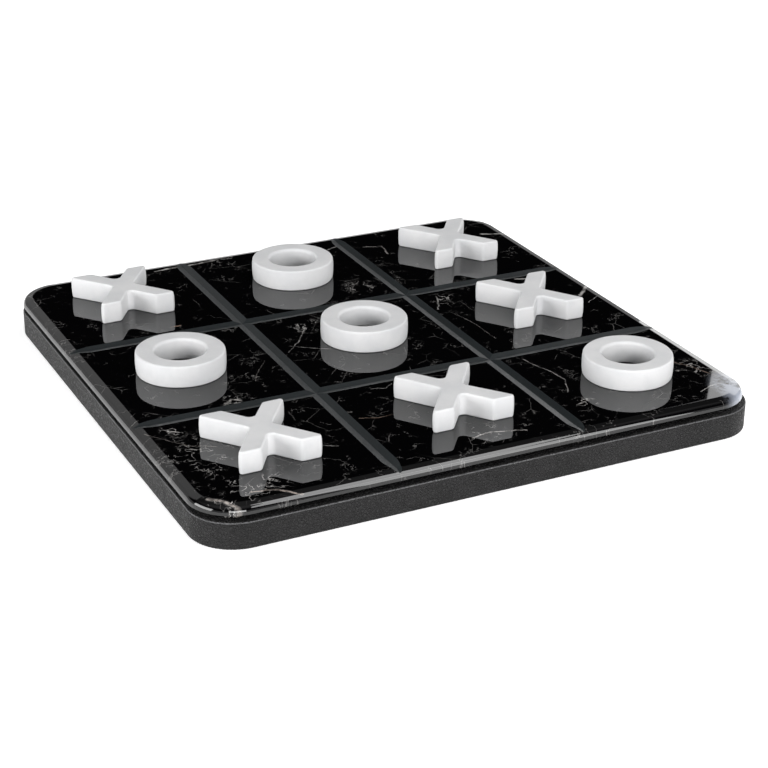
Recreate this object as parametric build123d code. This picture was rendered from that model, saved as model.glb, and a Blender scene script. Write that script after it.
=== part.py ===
from build123d import *
import math
import os

# A noughts-and-crosses set: a square stone slab on a leather-wrapped board, with
# loose stone crosses and rings standing on it.
# Millimetres, +Z up. The origin is the centre of the underside, on the table.
# The players' near edge is at -Y, and column 0, row 0 of the grid is at -X, -Y.

# --- driving dimensions -------------------------------------------------------

# leather-wrapped board
board_side = 300.0
board_corner_radius = 23.0
board_top = 14.0               # height of the leather's upper face
leather_thickness = 1.4
leather_turnover = 16.0        # width of the leather turned in over the top and the underside
leather_top_rounding = 1.0
leather_bottom_rounding = 0.7
felt_standing_proud = 0.2      # the felt carries the board, so the leather clears the table

# spacer that lifts the slab and leaves a shadow gap
spacer_thickness = 2.7
adhesive_thickness = 0.4
fitting_gap = 0.2              # room around the felt and the spacer inside the turned leather

# stone slab
slab_side = 298.0
slab_corner_radius = 23.0
slab_thickness = 5.5
slab_offset = (-0.7, 0.3)      # the slab is bonded by hand, a little off the board's centre
bevel_width = 4.8
bevel_depth = 1.0
slab_upper_arris = 1.5         # rounding where the bevel meets the side
slab_lower_arris = 0.4

# V-grooves that draw the grid, ground a little off the slab's centre and a little askew
grid_offset = (-1.9, -2.8)
grid_turn = -0.4               # degrees
groove_spacing = 98.6
groove_width = 8.0
groove_depth = 0.9
groove_runout = 14.0           # length over which a groove narrows to a point at the slab's edge

# playing pieces
cell_pitch = 97.0
cross_span_x = 45.4            # over the feet, along X, before their corners are rounded
cross_span_y = 46.2            # over the feet, along Y
cross_foot = 12.2              # width of a foot along X
cross_height = 11.6
cross_corner_radius = 1.2
cross_crotch_radius = 1.8
ring_outer_radius = 23.3
ring_hole_radius = 13.2
ring_height = 11.6
piece_top_rounding = 1.0
ring_hole_rounding = 1.6
piece_bottom_chamfer = 0.4

# column, row, shift along X, shift along Y, turn in degrees: placed by hand, so never quite centred
cross_places = [
    (0, 0, -3.1, 0.0, 1.0),
    (1, 0, 1.2, 0.1, 0.1),
    (2, 1, 2.8, -2.9, -1.6),
    (0, 2, -2.9, 3.2, 1.4),
    (2, 2, 3.9, -2.0, 0.0),
]
ring_places = [
    (2, 0, 4.3, -2.4),
    (0, 1, -5.9, 2.5),
    (1, 1, 0.7, 2.0),
    (1, 2, 1.4, 1.5),
]

# --- heights and sizes that follow from them ----------------------------------

leather_underside = felt_standing_proud
core_bottom = leather_underside + leather_thickness
core_top = board_top - leather_thickness
core_side = board_side - 2 * leather_thickness
core_corner_radius = board_corner_radius - leather_thickness
window_side = board_side - 2 * leather_turnover
window_corner_radius = board_corner_radius - leather_turnover
spacer_top = core_top + spacer_thickness
slab_bottom = spacer_top + adhesive_thickness
slab_top = slab_bottom + slab_thickness


def rounded_plate(side, corner_radius, bottom, top):
    """A square plate with round corners, between two heights."""
    outline = RectangleRounded(side, side, corner_radius)
    return Pos(0, 0, bottom) * extrude(outline, amount=top - bottom)


def edges_at(solid, height):
    """The horizontal edges of a solid that lie at one height."""
    return solid.edges().filter_by_position(Axis.Z, height - 0.001, height + 0.001)


# --- the board ----------------------------------------------------------------


def core_board():
    return rounded_plate(core_side, core_corner_radius, core_bottom, core_top)


def leather_wrap():
    """One skin over the side of the core, turned in over its top and its underside."""
    skin = rounded_plate(board_side, board_corner_radius, leather_underside, board_top)
    skin = fillet(edges_at(skin, board_top), leather_top_rounding)
    skin = fillet(edges_at(skin, leather_underside), leather_bottom_rounding)
    window = rounded_plate(window_side, window_corner_radius, leather_underside - 1, board_top + 1)
    return skin - core_board() - window


def felt_underlay():
    side = window_side - 2 * fitting_gap
    return rounded_plate(side, window_corner_radius - fitting_gap, 0, core_bottom)


def spacer_panel():
    side = window_side - 2 * fitting_gap
    return rounded_plate(side, window_corner_radius - fitting_gap, core_top, spacer_top)


def slab_adhesive():
    side = window_side - 4 * fitting_gap
    return rounded_plate(side, window_corner_radius - 2 * fitting_gap, spacer_top, slab_bottom)


# --- the slab -----------------------------------------------------------------


def groove_profile(x):
    """The cutter's triangle across a groove that runs along X, with its mouth on the slab."""
    above = 0.5
    inset = slab_side / 2 - abs(x)
    swell = math.sin(math.pi / 2 * min(1, inset / groove_runout))
    surface = -bevel_depth * max(0, 1 - inset / bevel_width)
    half_mouth = groove_width / 2 * swell
    half_top = half_mouth + groove_width / 2 * above / groove_depth
    corners = [
        (x, -half_top, surface + above),
        (x, half_top, surface + above),
        (x, 0, surface - groove_depth * swell),
    ]
    return make_face(Polyline(*corners, close=True))


def groove_cutter():
    """A V-groove along X, on the origin, that narrows to a point at both edges of the slab."""
    insets = [0, bevel_width / 2, bevel_width, groove_runout * 0.55, groove_runout * 0.75, groove_runout]
    stations = [inset - slab_side / 2 for inset in insets]
    stations += [-x for x in reversed(stations)]
    return loft([groove_profile(x) for x in stations], ruled=True)


def marble_slab():
    slab = rounded_plate(slab_side, slab_corner_radius, slab_bottom, slab_top)
    slab = chamfer(edges_at(slab, slab_bottom), slab_lower_arris)
    upper_face = slab.faces().sort_by(Axis.Z)[-1]
    slab = chamfer(edges_at(slab, slab_top), bevel_width, bevel_depth, reference=upper_face)
    slab = fillet(edges_at(slab, slab_top - bevel_depth), slab_upper_arris)
    groove = groove_cutter()
    grid = Pos(grid_offset[0], grid_offset[1], slab_top) * Rot(0, 0, grid_turn)
    for side in (-1, 1):
        aside = side * groove_spacing / 2
        slab -= grid * Pos(-grid_offset[0], aside, 0) * groove
        slab -= grid * Pos(aside, -grid_offset[1], 0) * Rot(0, 0, 90) * groove
    return Pos(slab_offset[0], slab_offset[1], 0) * slab


# --- the playing pieces -------------------------------------------------------


def cell_centre(column, row):
    x = slab_offset[0] + (column - 1) * cell_pitch
    y = slab_offset[1] + (row - 1) * cell_pitch
    return x, y


def cross_outline():
    """A letter X with flat feet, its twelve corners taken in order round it."""
    half_foot = cross_foot / 2
    foot_x = cross_span_x / 2 - half_foot
    foot_y = cross_span_y / 2
    crotch_y = half_foot * foot_y / foot_x
    right_half = [
        (0, -crotch_y),
        (foot_x - half_foot, -foot_y),
        (foot_x + half_foot, -foot_y),
        (half_foot, 0),
        (foot_x + half_foot, foot_y),
        (foot_x - half_foot, foot_y),
        (0, crotch_y),
    ]
    left_half = [(-x, -y) for x, y in right_half[1:-1]]
    return make_face(Polyline(*right_half, *left_half, close=True))


def cross_piece():
    face = cross_outline()
    near_centre = cross_span_y / 4
    crotches = [v for v in face.vertices() if Vector(v.X, v.Y).length < near_centre]
    face = fillet(crotches, cross_crotch_radius)
    feet = [v for v in face.vertices() if Vector(v.X, v.Y).length > cross_span_x / 3]
    face = fillet(feet, cross_corner_radius)
    solid = extrude(face, amount=cross_height)
    solid = fillet(edges_at(solid, cross_height), piece_top_rounding)
    return chamfer(edges_at(solid, 0), piece_bottom_chamfer)


def ring_piece():
    width = ring_outer_radius - ring_hole_radius
    middle = (ring_outer_radius + ring_hole_radius) / 2
    section = Plane.XZ * Pos(middle, ring_height / 2) * Rectangle(width, ring_height)
    solid = revolve(section, Axis.Z)
    top_edges = edges_at(solid, ring_height).sort_by(SortBy.RADIUS)
    solid = fillet(top_edges[0], ring_hole_rounding)
    top_edges = edges_at(solid, ring_height).sort_by(SortBy.RADIUS)
    solid = fillet(top_edges[-1], piece_top_rounding)
    return chamfer(edges_at(solid, 0), piece_bottom_chamfer)


def playing_pieces():
    pieces = {}
    cross = cross_piece()
    for number, (column, row, shift_x, shift_y, turn) in enumerate(cross_places, 1):
        x, y = cell_centre(column, row)
        place = Pos(x + shift_x, y + shift_y, slab_top) * Rot(0, 0, turn)
        pieces[f"x_piece_{number}"] = place * cross
    ring = ring_piece()
    for number, (column, row, shift_x, shift_y) in enumerate(ring_places, 1):
        x, y = cell_centre(column, row)
        pieces[f"o_piece_{number}"] = Pos(x + shift_x, y + shift_y, slab_top) * ring
    return pieces


nodes = {
    "core_board": core_board(),
    "leather_wrap": leather_wrap(),
    "felt_underlay": felt_underlay(),
    "spacer_panel": spacer_panel(),
    "slab_adhesive": slab_adhesive(),
    "marble_slab": marble_slab(),
    **playing_pieces(),
}

os.makedirs("parts", exist_ok=True)
for name, solid in nodes.items():
    export_step(solid, f"parts/{name}.step")
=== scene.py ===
import math

import bpy
from mathutils import Matrix, Quaternion, Vector, noise


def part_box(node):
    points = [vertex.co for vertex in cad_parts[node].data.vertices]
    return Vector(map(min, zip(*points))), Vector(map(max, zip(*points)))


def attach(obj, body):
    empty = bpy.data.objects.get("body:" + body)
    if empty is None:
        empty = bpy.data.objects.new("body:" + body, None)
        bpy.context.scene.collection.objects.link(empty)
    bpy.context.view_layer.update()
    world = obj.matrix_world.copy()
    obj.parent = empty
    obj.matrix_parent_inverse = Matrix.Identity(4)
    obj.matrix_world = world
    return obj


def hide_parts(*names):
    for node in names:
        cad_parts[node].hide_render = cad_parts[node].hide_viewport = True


# A noughts-and-crosses set: polished black marble on a leather-wrapped board, with honed
# white stone crosses and rings. Metres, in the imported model's frame: +Z up, the players'
# near edge at -Y. Lengths below are given in millimetres and turned into metres by MM.

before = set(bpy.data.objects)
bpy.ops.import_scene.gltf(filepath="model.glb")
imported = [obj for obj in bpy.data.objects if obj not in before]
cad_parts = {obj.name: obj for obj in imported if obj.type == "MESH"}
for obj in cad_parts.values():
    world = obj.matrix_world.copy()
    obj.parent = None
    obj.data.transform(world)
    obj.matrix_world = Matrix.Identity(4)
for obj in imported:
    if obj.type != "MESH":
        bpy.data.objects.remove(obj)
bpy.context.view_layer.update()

MM = 0.001
SLAB_LOW, SLAB_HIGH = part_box("marble_slab")
LEATHER_LOW, LEATHER_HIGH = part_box("leather_wrap")
CROSSES = [name for name in sorted(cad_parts) if name.startswith("x_piece")]
RINGS = [name for name in sorted(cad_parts) if name.startswith("o_piece")]


# --- node helpers ---------------------------------------------------------------------


class Shader:
    """One node material, and short ways of adding and wiring its nodes."""

    def __init__(self, name, roughness, specular=0.5, ior=1.5):
        self.material = bpy.data.materials.new(name)
        self.material.use_nodes = True
        self.tree = self.material.node_tree
        self.surface = self.tree.nodes["Principled BSDF"]
        self.surface.inputs["Roughness"].default_value = roughness
        self.surface.inputs["Specular IOR Level"].default_value = specular
        self.surface.inputs["IOR"].default_value = ior
        self.place = self.node("ShaderNodeTexCoord").outputs["Object"]

    def node(self, kind, **settings):
        made = self.tree.nodes.new(kind)
        for key, value in settings.items():
            setattr(made, key, value)
        return made

    def feed(self, socket, value):
        if isinstance(value, bpy.types.NodeSocket):
            self.tree.links.new(value, socket)
        else:
            socket.default_value = value

    def math(self, operation, first, second=0.0, clamp=False):
        made = self.node("ShaderNodeMath", operation=operation, use_clamp=clamp)
        self.feed(made.inputs[0], first)
        self.feed(made.inputs[1], second)
        return made.outputs[0]

    def vector(self, operation, first, second=(0.0, 0.0, 0.0), output="Vector"):
        made = self.node("ShaderNodeVectorMath", operation=operation)
        self.feed(made.inputs[0], first)
        self.feed(made.inputs[1], second)
        return made.outputs[output]

    def scaled(self, vector, factor):
        made = self.node("ShaderNodeVectorMath", operation="SCALE")
        self.feed(made.inputs[0], vector)
        self.feed(made.inputs["Scale"], factor)
        return made.outputs[0]

    def noise(self, scale, detail=3.0, rough=0.5, place=None, output="Fac", **settings):
        made = self.node("ShaderNodeTexNoise", **settings)
        self.feed(made.inputs["Vector"], place or self.place)
        made.inputs["Scale"].default_value = scale
        made.inputs["Detail"].default_value = detail
        made.inputs["Roughness"].default_value = rough
        return made.outputs[output]

    def voronoi(self, scale, place=None, feature="F1", output="Distance", jitter=1.0):
        made = self.node("ShaderNodeTexVoronoi", feature=feature)
        self.feed(made.inputs["Vector"], place or self.place)
        made.inputs["Scale"].default_value = scale
        made.inputs["Randomness"].default_value = jitter
        return made.outputs[output]

    def remap(self, value, low, high, to_low=0.0, to_high=1.0, smooth=True):
        """Value from low..high to to_low..to_high, held at both ends."""
        kind = "SMOOTHSTEP" if smooth else "LINEAR"
        made = self.node("ShaderNodeMapRange", interpolation_type=kind)
        for socket, number in zip(made.inputs[:5], (value, low, high, to_low, to_high)):
            self.feed(socket, number)
        return made.outputs[0]

    def mix(self, factor, first, second):
        made = self.node("ShaderNodeMix", data_type="RGBA")
        self.feed(made.inputs["Factor"], factor)
        self.feed(made.inputs[6], first)
        self.feed(made.inputs[7], second)
        return made.outputs[2]

    def bump(self, height, depth, below=None):
        """Height of 0..1 as a relief of that depth in metres, over an earlier relief."""
        made = self.node("ShaderNodeBump")
        made.inputs["Strength"].default_value = 1.0
        made.inputs["Distance"].default_value = depth
        self.feed(made.inputs["Height"], height)
        if below:
            self.feed(made.inputs["Normal"], below)
        return made.outputs[0]

    def set(self, name, value):
        self.feed(self.surface.inputs[name], value)


def grey(level):
    return (level, level, level, 1.0)


# --- marble ---------------------------------------------------------------------------

# Veins of the slab as listed routes: points in mm, half width in mm, strength, and how
# brown they are. The network of fine cracks is grown by the shader around SPECKLE_PATCHES.
VEINS = [
    ([(-68, 140), (-48, 142), (-30, 142)], 1.3, 0.9, 0.0),
    ([(-30, 142), (-20, 140)], 0.5, 0.5, 0.0),
    ([(36, 130), (46, 132)], 0.8, 0.6, 0.0),
    ([(58, 124), (68, 121), (66, 108)], 0.7, 0.5, 0.1),
    ([(132, 114), (148, 109)], 1.2, 0.8, 0.0),
    ([(-45, -1), (-34, 12), (-24, 26)], 0.35, 0.55, 0.0),
    ([(-42, 6), (-34, 1), (-23, -6)], 0.35, 0.5, 0.0),
    ([(-75, -26), (-68, -14), (-60, -5)], 0.35, 0.35, 0.2),
    ([(-98, -45), (-94, -41), (-90, -44)], 1.1, 0.7, 0.1),
    ([(53, 19), (57, 27), (60, 36)], 0.6, 0.6, 0.0),
    ([(58, 11), (61, -8), (62, -30)], 0.3, 0.35, 0.1),
    ([(114, 40), (124, 36)], 1.2, 0.75, 0.0),
    ([(135, 4), (141, 10), (147, 16)], 1.6, 0.9, 0.0),
    ([(134, -8), (141, -3), (147, 0)], 0.4, 0.6, 0.0),
    ([(61, -60), (66, -79), (68, -92), (61, -106)], 0.4, 0.55, 0.0),
    ([(128, -94), (135, -107), (141, -121)], 0.6, 0.5, 0.8),
    ([(58, -121), (66, -118)], 0.6, 0.6, 0.1),
    ([(-46, -88), (-38, -92), (-29, -91)], 0.4, 0.5, 0.9),
    ([(-26, -60), (-19, -63), (-14, -60)], 0.35, 0.45, 0.0),
    ([(-7, -131), (4, -129), (21, -135)], 0.7, 0.75, 0.1),
    ([(-74, -108), (-68, -112)], 0.4, 0.5, 0.0),
    ([(-146, -60), (-132, -82), (-120, -88)], 0.35, 0.45, 0.3),
    ([(-136, -60), (-131, -66)], 0.7, 0.7, 0.0),
    ([(-143, -134), (-136, -140), (-131, -151)], 1.5, 1.0, 0.3),
    ([(-123, -137), (-113, -139), (-102, -146)], 1.0, 0.9, 0.5),
    ([(-150, -48), (-143, -44)], 0.3, 0.35, 0.0),
    ([(-150, 66), (-143, 64)], 0.3, 0.4, 0.2),
    ([(-89, 57), (-84, 57)], 1.0, 0.8, 1.0),
    ([(20, 58), (25, 68), (32, 76)], 0.3, 0.35, 0.0),
    ([(122, -134), (130, -131), (138, -130)], 0.4, 0.8, 0.0),
]
# centre in mm, radius in mm, strength
SPECKLE_PATCHES = [
    ((-25, 141), 14, 0.6),
    ((-22, 28), 12, 0.9),
    ((-68, -15), 16, 0.5),
    ((-95, -43), 8, 0.8),
    ((66, 30), 14, 0.6),
    ((118, 38), 10, 0.7),
    ((135, -108), 14, 0.7),
    ((63, -120), 8, 0.8),
    ((2, -131), 14, 0.8),
    ((-128, -95), 34, 0.42),
    ((-118, -130), 20, 0.7),
    ((-134, -140), 14, 1.0),
    ((-132, -62), 8, 0.8),
    ((28, 66), 14, 0.5),
]


def distance_to_run(shader, place, start, end):
    """How far a point is from the straight run between two points on the slab."""
    start = Vector((*start, 0)) * MM
    along = Vector((*end, 0)) * MM - start
    offset = shader.vector("SUBTRACT", place, start)
    share = shader.vector("DOT_PRODUCT", offset, along / along.length_squared, "Value")
    share = shader.math("ADD", share, 0.0, clamp=True)
    foot = shader.scaled(tuple(along), share)
    return shader.vector("DISTANCE", offset, foot, "Value")


def vein_mask(shader, place, points, half_width):
    """1 on a vein's line, falling to 0 at its edge."""
    nearest = None
    for start, end in zip(points, points[1:]):
        distance = distance_to_run(shader, place, start, end)
        nearest = distance if nearest is None else shader.math("MINIMUM", nearest, distance)
    return shader.remap(nearest, half_width * MM, 0.15 * half_width * MM)


def crack_lines(shader, place, scale, width, gap_low, gap_high):
    """Open, wandering lines where a noise passes its middle value, broken up by another."""
    level = shader.noise(scale, 3, 0.62, place=place)
    offset = shader.math("ABSOLUTE", shader.math("SUBTRACT", level, 0.5))
    lines = shader.remap(offset, width, 0.15 * width)
    return shader.math("MULTIPLY", lines, shader.remap(shader.noise(0.9 * scale, 2), gap_low, gap_high))


def marble(name, polish):
    """Black marble. The colour is a function of place, so veins run over every edge."""
    shader = Shader(name, polish, ior=1.62)
    flat = shader.vector("MULTIPLY", shader.place, (1.0, 1.0, 0.0))
    drift = shader.vector("SUBTRACT", shader.noise(45, 2, output="Color"), (0.5,) * 3)
    jag = shader.vector("SUBTRACT", shader.noise(300, 4, 0.75, output="Color"), (0.5,) * 3)
    warp = shader.vector("ADD", shader.scaled(drift, 6 * MM), shader.scaled(jag, 2.0 * MM))
    place = shader.vector("MULTIPLY", shader.vector("ADD", flat, warp), (1.0, 1.0, 0.0))

    white = 0.0
    brown = 0.0
    for points, half_width, strength, brownness in VEINS:
        mask = vein_mask(shader, place, points, half_width)
        white = shader.math("MAXIMUM", white, shader.math("MULTIPLY", mask, strength))
        if brownness:
            brown = shader.math("MAXIMUM", brown, shader.math("MULTIPLY", mask, brownness))
    broken = shader.remap(shader.noise(260, 3, 0.6), 0.40, 0.58, 0.25, 1.0)
    white = shader.math("MULTIPLY", white, broken)

    near = 0.0
    for (x, y), radius, strength in SPECKLE_PATCHES:
        centre = (x * MM, y * MM, 0.0)
        distance = shader.vector("DISTANCE", flat, centre, "Value")
        patch = shader.remap(distance, radius * MM, 0.25 * radius * MM, 0.0, strength)
        near = shader.math("MAXIMUM", near, patch)
    long_cracks = crack_lines(shader, place, 60, 0.011, 0.47, 0.53)
    short_cracks = crack_lines(shader, place, 135, 0.018, 0.53, 0.60)
    web = shader.math("MULTIPLY", shader.math("MAXIMUM", long_cracks, short_cracks), near)
    faint = shader.remap(shader.voronoi(45, place, "DISTANCE_TO_EDGE"), 0.010, 0.0)
    faint = shader.math("MULTIPLY", faint, shader.remap(shader.noise(50, 2), 0.52, 0.62, 0.0, 0.16))
    wisps = crack_lines(shader, place, 95, 0.012, 0.53, 0.63)
    faint = shader.math("MAXIMUM", faint, shader.math("MULTIPLY", wisps, 0.17))
    veins = shader.math("MAXIMUM", shader.math("MAXIMUM", white, web), faint)

    corner = shader.vector("DISTANCE", place, (0.150, -0.139, 0.0), "Value")
    patch = shader.remap(corner, 25 * MM, 11 * MM)
    feather = shader.noise(70, 5, 0.65, place=place)
    patch = shader.math("MULTIPLY", patch, shader.remap(feather, 0.42, 0.56))

    cloud = shader.noise(30, 4, 0.6)
    ground = shader.mix(cloud, (0.0004, 0.0004, 0.0005, 1), (0.0014, 0.0013, 0.0017, 1))
    vein_colour = shader.mix(brown, (0.62, 0.60, 0.58, 1), (0.30, 0.17, 0.10, 1))
    colour = shader.mix(veins, ground, vein_colour)
    colour = shader.mix(patch, colour, (0.40, 0.43, 0.50, 1))
    shader.set("Base Color", colour)
    return shader


def polished_marble():
    shader = marble("polished_black_marble", 0.035)
    haze = shader.noise(900, 2, 0.5)
    shader.set("Roughness", shader.remap(haze, 0.3, 0.7, 0.015, 0.035))
    return shader.material


def ground_marble():
    """The finish inside the grooves, left by the wheel and not polished."""
    shader = marble("ground_black_marble", 0.34)
    scratches = shader.noise(1400, 3, 0.6)
    shader.set("Base Color", shader.mix(scratches, (0.005, 0.008, 0.009, 1), (0.012, 0.017, 0.019, 1)))
    shader.set("Roughness", shader.remap(scratches, 0.3, 0.7, 0.28, 0.42))
    shader.set("Normal", shader.bump(scratches, 0.02 * MM))
    return shader.material


# --- other materials ------------------------------------------------------------------


def white_stone():
    shader = Shader("honed_white_stone", 0.6, specular=0.35)
    mottle = shader.noise(55, 5, 0.6)
    fleck = shader.noise(700, 3, 0.7)
    colour = shader.mix(shader.remap(mottle, 0.35, 0.65), (0.70, 0.705, 0.715, 1), (0.76, 0.76, 0.765, 1))
    darker = shader.remap(fleck, 0.60, 0.75, 0.0, 0.25)
    colour = shader.mix(darker, colour, (0.62, 0.63, 0.64, 1))
    shader.set("Base Color", colour)
    shader.set("Roughness", shader.remap(mottle, 0.3, 0.7, 0.52, 0.66))
    relief = shader.bump(fleck, 0.03 * MM)
    shader.set("Normal", shader.bump(shader.noise(120, 3), 0.10 * MM, relief))
    return shader.material


def leather():
    """Fine pebbled grain: cells about 1.4 mm across with creases between them."""
    shader = Shader("black_grained_leather", 0.5, specular=0.34)
    drift = shader.vector("SUBTRACT", shader.noise(500, 2, output="Color"), (0.5,) * 3)
    place = shader.vector("ADD", shader.place, shader.scaled(drift, 0.9 * MM))
    pebbles = shader.remap(shader.voronoi(720, place, "DISTANCE_TO_EDGE"), 0.0, 0.30)
    creases = shader.remap(shader.voronoi(330, place, "DISTANCE_TO_EDGE"), 0.0, 0.05)
    grain = shader.math("MULTIPLY", pebbles, shader.remap(creases, 0.0, 1.0, 0.6, 1.0))
    wear = shader.remap(shader.noise(40, 3, 0.6), 0.35, 0.7)
    colour = shader.mix(grain, grey(0.002), (0.009, 0.0085, 0.009, 1))
    colour = shader.mix(shader.math("MULTIPLY", wear, 0.35), colour, (0.024, 0.023, 0.024, 1))
    # painted highlight: a thin lighter grey band just under the leather's top edge, standing in for the light that
    # the rounded edge catches
    height = shader.node("ShaderNodeSeparateXYZ")
    shader.feed(height.inputs[0], shader.place)
    level = shader.math("SUBTRACT", height.outputs["Z"], LEATHER_HIGH.z)
    edge = shader.remap(level, -0.85 * MM, -0.55 * MM)
    edge = shader.math("MULTIPLY", edge, shader.remap(level, -0.35 * MM, -0.15 * MM, 1.0, 0.0))
    colour = shader.mix(shader.math("MULTIPLY", edge, 0.8), colour, (0.16, 0.16, 0.165, 1))
    shader.set("Base Color", colour)
    shader.set("Roughness", shader.remap(grain, 0.0, 1.0, 0.62, 0.36))
    shader.set("Normal", shader.bump(grain, 0.6 * MM))
    return shader.material


def felt():
    shader = Shader("black_felt", 0.95, specular=0.2)
    stretched = shader.vector("MULTIPLY", shader.place, (1.0, 1.6, 1.0))
    fibres = shader.noise(1500, 5, 0.75, place=stretched)
    tufts = shader.noise(180, 3, 0.6)
    colour = shader.mix(fibres, grey(0.006), grey(0.030))
    shader.set("Base Color", shader.mix(tufts, colour, grey(0.015)))
    shader.surface.inputs["Sheen Weight"].default_value = 0.15
    shader.set("Normal", shader.bump(fibres, 0.25 * MM))
    return shader.material


def painted_board():
    shader = Shader("matt_black_paint", 0.8, specular=0.1)
    peel = shader.noise(500, 3, 0.6)
    shader.set("Base Color", shader.mix(peel, grey(0.008), grey(0.016)))
    shader.set("Normal", shader.bump(peel, 0.05 * MM))
    return shader.material


def fibreboard():
    shader = Shader("raw_fibreboard", 0.85, specular=0.3)
    fibres = shader.noise(700, 5, 0.7)
    tone = shader.noise(30, 3, 0.6)
    colour = shader.mix(fibres, (0.30, 0.20, 0.12, 1), (0.52, 0.38, 0.25, 1))
    shader.set("Base Color", shader.mix(shader.remap(tone, 0.3, 0.7), colour, (0.42, 0.30, 0.19, 1)))
    shader.set("Normal", shader.bump(fibres, 0.08 * MM))
    return shader.material


def clear_adhesive():
    shader = Shader("grey_adhesive", 0.45, specular=0.4)
    blotch = shader.noise(90, 4, 0.6)
    shader.set("Base Color", shader.mix(blotch, grey(0.14), grey(0.26)))
    shader.set("Normal", shader.bump(blotch, 0.1 * MM))
    return shader.material


MARBLE = polished_marble()
GROUND_MARBLE = ground_marble()
STONE = white_stone()
LEATHER = leather()


# --- mesh helpers ---------------------------------------------------------------------


def smooth_object(name, verts, faces, materials, sharp_degrees):
    """A mesh object, shaded smooth but for edges sharper than the given angle."""
    mesh = bpy.data.meshes.new(name)
    mesh.from_pydata(verts, [], faces)
    mesh.validate()
    for material in materials:
        mesh.materials.append(material)
    obj = bpy.data.objects.new(name, mesh)
    bpy.context.scene.collection.objects.link(obj)
    finish_shading(obj, sharp_degrees)
    return obj


def finish_shading(obj, sharp_degrees):
    mesh = obj.data
    mesh.shade_smooth()
    mesh.set_sharp_from_angle(angle=math.radians(sharp_degrees))
    weighted = obj.modifiers.new("weighted_normals", "WEIGHTED_NORMAL")
    weighted.keep_sharp = True


def stand_in(obj, node, body):
    """The piece rides on the body and hides the CAD node."""
    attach(obj, body)
    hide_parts(node)


def rounded_square(half, radius, corner_steps, side_steps, centre=(0.0, 0.0)):
    """Points anticlockwise round a square with round corners: place, normal, corner share.

    The corner share is 0 along a side and rises to 1 at the middle of a corner.
    """
    points = []
    turns = [(1, -1, -90), (1, 1, 0), (-1, 1, 90), (-1, -1, 180)]
    flat = half - radius
    for sign_x, sign_y, first in turns:
        middle = Vector((centre[0] + sign_x * flat, centre[1] + sign_y * flat))
        for step in range(corner_steps + 1):
            angle = math.radians(first + 90 * step / corner_steps)
            normal = Vector((math.cos(angle), math.sin(angle)))
            share = math.sin(math.pi * step / corner_steps)
            points.append((middle + radius * normal, normal, share))
        for step in range(1, side_steps):
            slide = Vector((-normal.y, normal.x)) * (2 * flat * step / side_steps)
            points.append((middle + radius * normal + slide, normal, 0.0))
    return points


def arc(centre_inset, centre_height, radius, first, last, steps):
    """Profile points on an arc, as (inset from the outer face, height), angles in degrees."""
    points = []
    for step in range(steps + 1):
        angle = math.radians(first + (last - first) * step / steps)
        points.append((centre_inset - radius * math.cos(angle), centre_height + radius * math.sin(angle)))
    return points


def swept_faces(around, rows, closed_rows):
    """Quads between rows of points that run round a closed outline."""
    faces = []
    row_pairs = rows if closed_rows else rows - 1
    for row in range(row_pairs):
        upper = (row + 1) % rows
        for step in range(around):
            after = (step + 1) % around
            faces.append((row * around + step, row * around + after, upper * around + after, upper * around + step))
    return faces


# --- the slab -------------------------------------------------------------------------

SLAB_CENTRE = (SLAB_LOW + SLAB_HIGH) / 2
SLAB_HALF = (SLAB_HIGH.x - SLAB_LOW.x) / 2
SLAB_CORNER = 23 * MM
BEVEL_WIDTH = 5.3 * MM
BEVEL_DEPTH = 1.1 * MM
SIDE_ROUNDING = (2.6 * MM, 3.7 * MM)      # inwards and upwards
LOWER_ARRIS = 1.1 * MM
GRID_OFFSET = (-1.9 * MM, -2.8 * MM)
GRID_TURN = math.radians(-0.4)
GROOVE_SPACING = 98.6 * MM
GROOVE_HALF = 4.0 * MM
GROOVE_DEPTH = 0.9 * MM
GROOVE_RUNOUT = 14 * MM


def slab_profile():
    """From the underside, up the rounded side and over the bevel to the flat top."""
    slope = BEVEL_DEPTH / BEVEL_WIDTH
    bottom, top = SLAB_LOW.z, SLAB_HIGH.z
    inwards, upwards = SIDE_ROUNDING
    # the rounding ends where it is as flat as the bevel, so the two meet without an edge
    last = math.atan2(inwards, upwards * slope)
    level = top - BEVEL_DEPTH + slope * inwards * (1 - math.cos(last)) - upwards * math.sin(last)
    points = [(LOWER_ARRIS, bottom), (0.0, bottom + LOWER_ARRIS)]
    for step in range(15):
        turn = last * step / 14
        points.append((inwards * (1 - math.cos(turn)), level + upwards * math.sin(turn)))
    blend = 0.35 * MM
    points.append((BEVEL_WIDTH - blend, top - blend * slope))
    points.append((BEVEL_WIDTH, top - 0.25 * blend * slope))
    points.append((BEVEL_WIDTH + blend, top))
    return points


def plain_slab():
    outline = rounded_square(SLAB_HALF, SLAB_CORNER, 32, 1, (SLAB_CENTRE.x, SLAB_CENTRE.y))
    profile = slab_profile()
    verts = []
    for inset, height in profile:
        verts += [(*(place - inset * normal), height) for place, normal, share in outline]
    around = len(outline)
    faces = swept_faces(around, len(profile), False)
    faces.append(tuple(reversed(range(around))))
    faces.append(tuple(range((len(profile) - 1) * around, len(profile) * around)))
    return verts, faces


def groove_section(x):
    """Left mouth, foot and right mouth of the cutter at a distance x along the groove."""
    above = 0.6 * MM
    inset = SLAB_HALF - abs(x)
    swell = math.sin(math.pi / 2 * max(0.0, min(1.0, inset / GROOVE_RUNOUT)))
    surface = -BEVEL_DEPTH * max(0.0, 1 - inset / BEVEL_WIDTH)
    half = GROOVE_HALF * (swell + above / GROOVE_DEPTH)
    foot = surface - GROOVE_DEPTH * swell
    return [(x, -half, surface + above), (x, 0.0, foot), (x, half, surface + above)]


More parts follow.
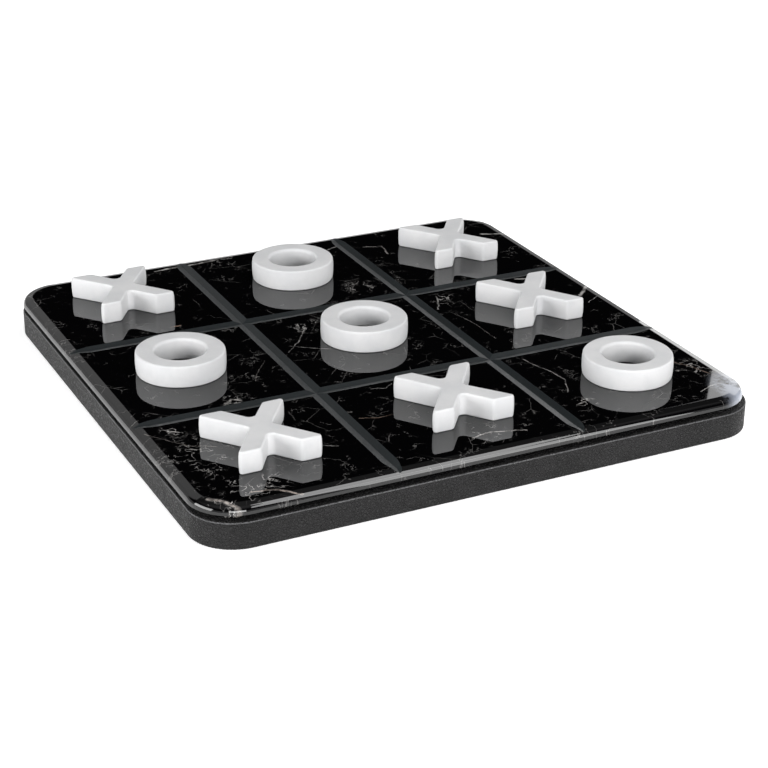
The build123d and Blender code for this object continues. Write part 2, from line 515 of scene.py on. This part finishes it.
def groove_cutter(name, turn, along, aside):
    steps = 12
    ends = [GROOVE_RUNOUT * (step / steps) ** 1.3 for step in range(steps + 1)]
    stations = [end - SLAB_HALF for end in ends]
    stations += [-x for x in reversed(stations)]
    centre = Vector((SLAB_CENTRE.x + GRID_OFFSET[0], SLAB_CENTRE.y + GRID_OFFSET[1], SLAB_HIGH.z))
    verts = []
    for x in stations:
        for px, py, pz in groove_section(x):
            px, py = px + along, py + aside
            verts.append((
                centre.x + px * math.cos(turn) - py * math.sin(turn),
                centre.y + px * math.sin(turn) + py * math.cos(turn),
                centre.z + pz,
            ))
    faces = []
    for i in range(len(stations) - 1):
        for j in range(3):
            k = (j + 1) % 3
            faces.append((3 * i + j, 3 * i + k, 3 * i + 3 + k, 3 * i + 3 + j))
    faces.append((0, 2, 1))
    last = 3 * (len(stations) - 1)
    faces.append((last, last + 1, last + 2))
    mesh = bpy.data.meshes.new(name)
    mesh.from_pydata(verts, [], faces)
    mesh.materials.append(MARBLE)
    mesh.materials.append(GROUND_MARBLE)
    for polygon in mesh.polygons:
        polygon.material_index = 1
    obj = bpy.data.objects.new(name, mesh)
    bpy.context.scene.collection.objects.link(obj)
    return obj


def cut_away(obj, cutter):
    """Takes the cutter out of the object's mesh for good, and deletes the cutter."""
    modifier = obj.modifiers.new("cut", "BOOLEAN")
    modifier.operation = "DIFFERENCE"
    modifier.solver = "EXACT"
    modifier.object = cutter
    bpy.context.view_layer.update()
    evaluated = obj.evaluated_get(bpy.context.evaluated_depsgraph_get())
    mesh = bpy.data.meshes.new_from_object(evaluated)
    obj.modifiers.clear()
    obj.data = mesh
    bpy.data.objects.remove(cutter)


def build_slab():
    verts, faces = plain_slab()
    mesh = bpy.data.meshes.new("marble_slab_cut")
    mesh.from_pydata(verts, [], faces)
    mesh.materials.append(MARBLE)
    mesh.materials.append(GROUND_MARBLE)
    slab = bpy.data.objects.new("marble_slab_cut", mesh)
    bpy.context.scene.collection.objects.link(slab)
    for side in (-1, 1):
        aside = side * GROOVE_SPACING / 2
        cut_away(slab, groove_cutter("cutter_x", GRID_TURN, -GRID_OFFSET[0], aside))
        cut_away(slab, groove_cutter("cutter_y", GRID_TURN + math.pi / 2, -GRID_OFFSET[1], -aside))
    finish_shading(slab, 9)
    stand_in(slab, "marble_slab", "board")


# --- the leather wrap -----------------------------------------------------------------

LEATHER_CORNER = 23 * MM
LEATHER_THICKNESS = 1.4 * MM
LEATHER_TURNOVER = 16 * MM
LEATHER_TOP_ROUNDING = 1.0 * MM
LEATHER_BOTTOM_ROUNDING = 0.7 * MM
PLEAT_PITCH = 1.9 * MM
PLEAT_DEPTH = 0.32 * MM


def leather_profile():
    """The closed C of the skin: (inset, height, how much a pleat pulls it in)."""
    low, high = LEATHER_LOW.z, LEATHER_HIGH.z
    turnover, thickness = LEATHER_TURNOVER, LEATHER_THICKNESS
    top, bottom = LEATHER_TOP_ROUNDING, LEATHER_BOTTOM_ROUNDING
    points = [(turnover, low, 0.0), (8 * MM, low, 0.2), (3 * MM, low, 0.5)]
    points += [(inset, height, 0.6) for inset, height in arc(bottom, low + bottom, bottom, -90, 0, 6)]
    side = high - low - top - bottom
    for share in (0.12, 0.25, 0.4, 0.55, 0.7, 0.8, 0.88, 0.95):
        points.append((0.0, low + bottom + side * share, 0.1 + 0.9 * share ** 8))
    points += [(inset, height, 1.0) for inset, height in arc(top, high - top, top, 0, 90, 8)]
    points += [(inset, high, 1.0 / (1 + (inset / (4 * MM)) ** 2)) for inset in (1.6 * MM, 2.6 * MM, 4 * MM, 7 * MM)]
    points += [(turnover, high, 0.0), (turnover, high - thickness, 0.0)]
    points += [(thickness, high - thickness, 0.0), (thickness, low + thickness, 0.0)]
    points.append((turnover, low + thickness, 0.0))
    return points


def build_leather():
    half = LEATHER_HIGH.x
    outline = rounded_square(half, LEATHER_CORNER, 112, 40)
    profile = leather_profile()
    verts = []
    for inset, height, pull in profile:
        middle = (LEATHER_LOW.z + LEATHER_HIGH.z) / 2
        for index, (place, normal, corner) in enumerate(outline):
            arc_length = LEATHER_CORNER * math.atan2(normal.y, normal.x)
            wobble = noise.noise(Vector((place.x, place.y, 0.0)) * 160)
            fold = abs(math.sin(math.pi * arc_length / PLEAT_PITCH + 1.5 * wobble)) ** 0.6
            share = min(1.0, 2.2 * corner)
            pleat = PLEAT_DEPTH * pull * share * (1 - fold) * (0.7 + 0.6 * wobble)
            swell = 0.5 + 0.5 * noise.noise(Vector((place.x, place.y, height)) * 45)
            wave = 0.10 * MM * swell if pull else 0.0
            point = place - (inset + max(0.0, pleat) + wave) * normal
            drop = 0.6 * max(0.0, pleat) if height > middle and pull else 0.0
            verts.append((point.x, point.y, height - drop))
    faces = swept_faces(len(outline), len(profile), True)
    wrap = smooth_object("leather_wrap_skin", verts, faces, [LEATHER], 50)
    stand_in(wrap, "leather_wrap", "board")


# --- the playing pieces ---------------------------------------------------------------

TOP_ROUNDING = 1.0 * MM
HOLE_ROUNDING = 1.6 * MM
FOOT_ROUNDING = 0.8 * MM
CROWN = 0.3 * MM                # how much further out a piece's side stands at half height


def offset_loop(loop, inset):
    """A closed outline moved inwards by a distance, point by point."""
    moved = []
    for index, point in enumerate(loop):
        before = (point - loop[index - 1]).normalized()
        after = (loop[(index + 1) % len(loop)] - point).normalized()
        tangent = (before + after).normalized()
        inward = Vector((-tangent.y, tangent.x))
        moved.append(point + inward * (inset / max(0.5, inward.dot(Vector((-before.y, before.x))))))
    return moved


def rounded_loop(corners, radii, steps):
    """A polygon's outline with each corner turned into an arc of its own radius."""
    loop = []
    count = len(corners)
    for index, (corner, radius) in enumerate(zip(corners, radii)):
        to_last = (corners[index - 1] - corner).normalized()
        to_next = (corners[(index + 1) % count] - corner).normalized()
        half_angle = to_last.angle(to_next) / 2
        reach = radius / math.tan(half_angle)
        start, end = corner + to_last * reach, corner + to_next * reach
        middle = corner + (to_last + to_next).normalized() * (radius / math.sin(half_angle))
        for step in range(steps + 1):
            share = step / steps
            chord = start.lerp(end, share) - middle
            loop.append(middle + chord.normalized() * radius)
    return loop


def cross_corners(span_x, span_y, foot):
    half_foot = foot / 2
    foot_x = span_x / 2 - half_foot
    foot_y = span_y / 2
    crotch_y = half_foot * foot_y / foot_x
    right = [
        (0, -crotch_y), (foot_x - half_foot, -foot_y), (foot_x + half_foot, -foot_y), (half_foot, 0),
        (foot_x + half_foot, foot_y), (foot_x - half_foot, foot_y), (0, crotch_y),
    ]
    left = [(-x, -y) for x, y in right[1:-1]]
    return [Vector(point) for point in right + left]


def spread(loop, longest):
    """The outline with points added, so that no step is longer than the given length."""
    dense = []
    for index, point in enumerate(loop):
        after = loop[(index + 1) % len(loop)]
        parts = max(1, math.ceil((after - point).length / longest))
        dense += [point.lerp(after, part / parts) for part in range(parts)]
    return dense


def hand_cut(verts, seed, amount):
    """Small, slow unevenness, so that no two pieces are quite the same shape."""
    out = []
    for vert in verts:
        shift = noise.noise_vector(Vector(vert) * 55 + Vector((seed * 7.3, seed * 3.1, 0.0)))
        moved = Vector(vert) + Vector((shift.x, shift.y, 0.0)) * amount
        out.append(tuple(moved))
    return out


# corners in cross_corners, counted from the crotch at -Y: the hand-cut crosses aren't quite even
SHARP_RIGHT = 2
SHARP_LEFT = 8
NEAR_FOOT = (10, 11)
# in mm: how far the left foot is stretched, the near foot is shifted and the right foot is stretched
CROSS_UNEVENNESS = {"x_piece_2": (-0.3, -0.4, 1.3), "x_piece_3": (1.3, 0.2, -0.3), "x_piece_5": (1.3, 0.9, -0.6)}


def build_cross(node, seed, turn):
    low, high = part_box(node)
    centre = (low + high) / 2
    height = high.z - low.z
    corners = cross_corners(46.0 * MM, 46.4 * MM, 12.6 * MM)
    left, near, right = CROSS_UNEVENNESS.get(node, (1.3, 0.9, 0.0))
    corners[SHARP_LEFT] += Vector((-left * MM, 0.3 * left * MM))
    corners[SHARP_RIGHT] += Vector((right * MM, 0.0))
    for corner in NEAR_FOOT:
        corners[corner] += Vector((near * MM, 0.0))
    # in the order of cross_corners: crotch, blunt and sharp corner of a foot, waist, and so on
    radii = [r * MM for r in (2.6, 2.6, 1.7, 2.6, 1.7, 2.6, 2.6, 2.6, 1.7, 2.6, 1.7, 2.6)]
    outline = spread(rounded_loop(corners, radii, 6), 1.6 * MM)
    rows = arc(FOOT_ROUNDING + CROWN, FOOT_ROUNDING, FOOT_ROUNDING, -90, 0, 4)
    rows += [(CROWN * (2 * share - 1) ** 2, height * share) for share in (0.22, 0.36, 0.5, 0.64, 0.78)]
    rows += arc(TOP_ROUNDING + CROWN, height - TOP_ROUNDING, TOP_ROUNDING, 0, 90, 6)
    verts = []
    for inset, level in rows:
        verts += [(p.x, p.y, level) for p in offset_loop(outline, inset)]
    verts = hand_cut(verts, seed, 0.22 * MM)
    cosine, sine = math.cos(turn), math.sin(turn)
    placed = []
    for x, y, z in verts:
        placed.append((centre.x + x * cosine - y * sine, centre.y + x * sine + y * cosine, low.z + z))
    around = len(outline)
    faces = swept_faces(around, len(rows), False)
    faces.append(tuple(reversed(range(around))))
    faces.append(tuple(range((len(rows) - 1) * around, len(rows) * around)))
    cross = smooth_object(f"{node}_stone", placed, faces, [STONE], 35)
    stand_in(cross, node, node)


def build_ring(node, seed):
    low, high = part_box(node)
    centre = (low + high) / 2
    height = high.z - low.z
    outer = (high.x - low.x) / 2
    hole = 13.2 * MM
    wall = outer - hole
    rows = arc(FOOT_ROUNDING + CROWN, FOOT_ROUNDING, FOOT_ROUNDING, -90, 0, 4)
    rows += [(CROWN * (2 * share - 1) ** 2, height * share) for share in (0.22, 0.36, 0.5, 0.64, 0.78)]
    rows += arc(TOP_ROUNDING + CROWN, height - TOP_ROUNDING, TOP_ROUNDING, 0, 90, 6)
    rows += [(wall * share, height) for share in (0.3, 0.5, 0.7)]
    rows += arc(wall - HOLE_ROUNDING, height - HOLE_ROUNDING, HOLE_ROUNDING, 90, 180, 7)
    rows += [(wall, height * 0.4)]
    rows += arc(wall - FOOT_ROUNDING, FOOT_ROUNDING, FOOT_ROUNDING, 180, 270, 4)
    around = 144
    verts = []
    for inset, level in rows:
        radius = outer - inset
        for step in range(around):
            angle = 2 * math.pi * step / around
            verts.append((radius * math.cos(angle), radius * math.sin(angle), level))
    verts = hand_cut(verts, seed, 0.22 * MM)
    placed = [(centre.x + x, centre.y + y, low.z + z) for x, y, z in verts]
    faces = swept_faces(around, len(rows), True)
    ring = smooth_object(f"{node}_stone", placed, faces, [STONE], 35)
    stand_in(ring, node, node)


CROSS_TURNS = {"x_piece_1": 1.0, "x_piece_2": 0.1, "x_piece_3": -1.6, "x_piece_4": 1.4, "x_piece_5": 0.0}

build_slab()
build_leather()
for number, node in enumerate(CROSSES):
    build_cross(node, number + 1, math.radians(CROSS_TURNS[node]))
for number, node in enumerate(RINGS):
    build_ring(node, number + 11)


# --- CAD nodes that keep their shape --------------------------------------------------


def dress(node, material):
    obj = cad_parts[node]
    obj.data.materials.clear()
    obj.data.materials.append(material)


dress("felt_underlay", felt())
dress("spacer_panel", painted_board())
dress("core_board", fibreboard())
dress("slab_adhesive", clear_adhesive())


# --- floor, light and camera ----------------------------------------------------------


def build_floor():
    half = 4.0
    floor = smooth_object(
        "floor",
        [(-half, -half, 0.0), (half, -half, 0.0), (half, half, 0.0), (-half, half, 0.0)],
        [(0, 1, 2, 3)],
        [],
        30,
    )
    floor.modifiers.clear()
    shader = Shader("pale_floor", 0.9, specular=0.1)
    tone = shader.noise(6, 2, 0.5)
    shader.set("Base Color", shader.mix(tone, grey(0.92), grey(0.94)))
    shader.surface.inputs["Emission Color"].default_value = (1.0, 1.0, 1.0, 1.0)
    shader.surface.inputs["Emission Strength"].default_value = 0.60
    floor.data.materials.append(shader.material)


def direction(azimuth, elevation):
    """Unit vector to a light. Azimuth 0 is +Y, 90 is +X, in degrees."""
    az, el = math.radians(azimuth), math.radians(elevation)
    return Vector((math.sin(az) * math.cos(el), math.cos(az) * math.cos(el), math.sin(el)))


def softbox(name, azimuth, elevation, distance, width, height, radiance, upright=(0.0, 0.0, 1.0)):
    """A rectangular lamp that faces the board, its height lying along the upright direction.

    Radiance 1 is as bright as white paper in full light.
    """
    data = bpy.data.lights.new(name, "AREA")
    data.shape = "RECTANGLE"
    data.size = width
    data.size_y = height
    data.energy = radiance * math.pi * width * height
    away = direction(azimuth, elevation)
    sideways = Vector(upright).cross(away).normalized()
    lamp = bpy.data.objects.new(name, data)
    lamp.matrix_world = Matrix((sideways, away.cross(sideways), away)).transposed().to_4x4()
    lamp.location = away * distance
    bpy.context.scene.collection.objects.link(lamp)


# sine of the elevation where each ramp starts and ends, and the strength at both
BACKDROP_RAMP = (0.24, 0.31, 0.45, 0.0)
CEILING_RAMP = (0.55, 1.0, 0.003, 0.30)


def build_world():
    """A low grey backdrop up to about 15 degrees, dark above it, and a dim grey ceiling."""
    world = bpy.data.worlds.new("studio")
    world.use_nodes = True
    tree = world.node_tree
    background = tree.nodes["Background"]
    background.inputs["Color"].default_value = grey(1.0)
    coordinates = tree.nodes.new("ShaderNodeTexCoord")
    split = tree.nodes.new("ShaderNodeSeparateXYZ")
    total = tree.nodes.new("ShaderNodeMath")
    tree.links.new(coordinates.outputs["Generated"], split.inputs[0])
    for socket, ramp in zip(total.inputs, (BACKDROP_RAMP, CEILING_RAMP)):
        strength = tree.nodes.new("ShaderNodeMapRange")
        strength.interpolation_type = "SMOOTHSTEP"
        for number, value in zip(strength.inputs[1:5], ramp):
            number.default_value = value
        tree.links.new(split.outputs["Z"], strength.inputs[0])
        tree.links.new(strength.outputs[0], socket)
    tree.links.new(total.outputs[0], background.inputs["Strength"])
    bpy.context.scene.world = world


def build_camera():
    data = bpy.data.cameras.new("camera")
    data.sensor_width = 36.0
    data.lens = 89.5
    data.shift_x = -0.00215
    data.shift_y = 0.00062
    data.clip_start = 0.05
    data.clip_end = 30.0
    camera = bpy.data.objects.new("camera", data)
    camera.location = (-0.40424, -0.84399, 0.42183)
    level = direction(26.244, -24.586).to_track_quat("-Z", "Y")
    roll = Quaternion((0.0, 0.0, 1.0), math.radians(0.331))
    camera.rotation_mode = "QUATERNION"
    camera.rotation_quaternion = level @ roll
    bpy.context.scene.collection.objects.link(camera)
    bpy.context.scene.camera = camera


build_floor()
build_world()
softbox("overhead_strip", 131, 60, 1.8, 0.45, 2.2, 4.6, upright=(0.0, 0.956, 0.295))
softbox("front_right_strip", 154, 19, 2.0, 0.5, 1.15, 5.2)
softbox("front_light", 196, 15, 2.0, 1.2, 0.6, 8.0)
softbox("left_light", 270, 15, 1.8, 1.4, 0.7, 6.9)
softbox("right_back_panel", 54.8, 18, 2.0, 0.8, 1.0, 1.8)
softbox("left_back_panel", 345, 30, 2.0, 1.4, 1.0, 0.45)
build_camera()
bpy.context.scene.view_settings.view_transform = "Standard"
